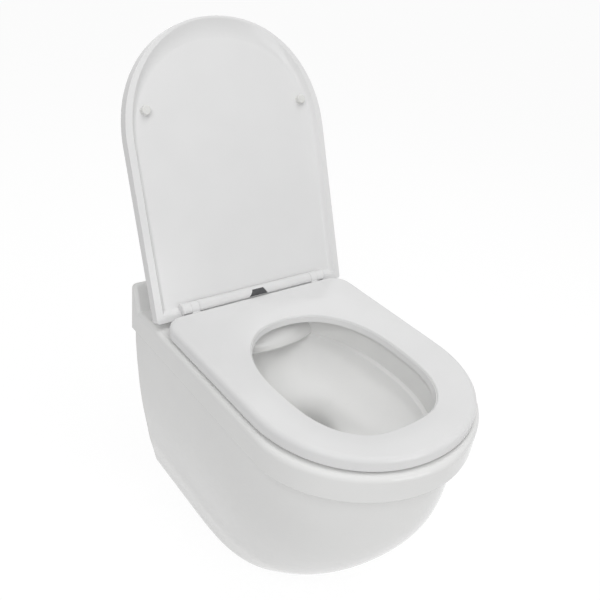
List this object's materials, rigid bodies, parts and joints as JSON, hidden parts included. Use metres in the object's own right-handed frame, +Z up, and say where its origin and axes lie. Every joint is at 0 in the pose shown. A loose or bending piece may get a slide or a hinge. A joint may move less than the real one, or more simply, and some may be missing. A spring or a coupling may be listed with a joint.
{
  "type": "wall hung toilet",
  "caption": "Wall-hung toilet pan with a rim band and rear upstand, soft-close seat and lid on a quick-release hinge bar.",
  "frame": {"origin": "half way between the two wall bolt holes, on the wall face of the pan", "axes": "+Y into the wall, +Z up, +X to the right of someone who faces the toilet from the front"},
  "size_m": [0.364, 0.622, 0.7927],
  "materials": {
    "glazed_china": "white glaze, gloss",
    "seat_plastic": "white moulded, soft gloss",
    "hinge_plastic": "white moulded",
    "button_plastic": "dark grey, ribbed",
    "inner_plastic": "natural moulded",
    "bumper_rubber": "soft white",
    "washer_rubber": "soft grey white",
    "stainless": "plain",
    "zinc_steel": "bright zinc"
  },
  "bodies": {
    "pan_body": {"pan": "glazed_china", "flow_restrictor": "inner_plastic", "fixing_bushes": "inner_plastic", "fixing_brackets": "inner_plastic", "fixing_clamp_screws": "zinc_steel", "hinge_washers": "washer_rubber", "hinge_rosettes": "stainless", "expansion_nuts": "washer_rubber", "hinge_bar_housing": "hinge_plastic", "hinge_bar_cover": "hinge_plastic", "hinge_bar_screws": "zinc_steel", "lid_damper_case": "inner_plastic", "seat_damper_case": "inner_plastic", "left_latch_spring": "stainless", "right_latch_spring": "stainless", "button_spring": "stainless"},
    "left_post_body": {"left_hinge_post": "stainless"},
    "right_post_body": {"right_hinge_post": "stainless"},
    "left_latch_body": {"left_latch": "stainless"},
    "right_latch_body": {"right_latch": "stainless"},
    "button_body": {"release_button": "button_plastic"},
    "seat_body": {"seat_ring": "seat_plastic", "seat_bumpers": "bumper_rubber", "seat_hinge_pin": "stainless", "seat_ear_bush": "inner_plastic", "seat_damper_rotor": "inner_plastic"},
    "lid_body": {"lid": "seat_plastic", "lid_bumpers": "bumper_rubber", "lid_hinge_pin": "stainless", "lid_knuckle_bush": "inner_plastic", "lid_damper_rotor": "inner_plastic"}
  },
  "joints": [
    {"name": "lid_hinge", "type": "hinge", "parent": "pan_body", "child": "lid_body", "pos_m": [0, -0.0796, 0.105], "axis": [-1, 0, 0], "range_deg": [-113, 0]},
    {"name": "seat_hinge", "type": "hinge", "parent": "pan_body", "child": "seat_body", "pos_m": [0, -0.0796, 0.105], "axis": [-1, 0, 0], "range_deg": [0, 112]},
    {"name": "release_press", "type": "slide", "parent": "pan_body", "child": "button_body", "axis": [0, 1, 0], "range_m": [0, 0.003], "stiffness_N_per_m": 1000, "springref_m": -0.002, "deforming": ["button_spring"]},
    {"name": "left_latch_slide", "type": "slide", "parent": "pan_body", "child": "left_latch_body", "axis": [-1, 0, 0], "range_m": [0, 0.003], "stiffness_N_per_m": 500, "springref_m": -0.002, "deforming": ["left_latch_spring"]},
    {"name": "right_latch_slide", "type": "slide", "parent": "pan_body", "child": "right_latch_body", "axis": [1, 0, 0], "range_m": [0, 0.003], "stiffness_N_per_m": 500, "springref_m": -0.002, "deforming": ["right_latch_spring"]},
    {"name": "left_post_turn", "type": "hinge", "parent": "pan_body", "child": "left_post_body", "pos_m": [-0.0775, -0.0796, 0.08], "axis": [0, 0, 1], "continuous": true},
    {"name": "right_post_turn", "type": "hinge", "parent": "pan_body", "child": "right_post_body", "pos_m": [0.0775, -0.0796, 0.08], "axis": [0, 0, 1], "continuous": true}
  ],
  "couplings": [
    {"joint": "left_latch_slide", "follows": "release_press", "ratio": 1},
    {"joint": "right_latch_slide", "follows": "release_press", "ratio": 1}
  ]
}
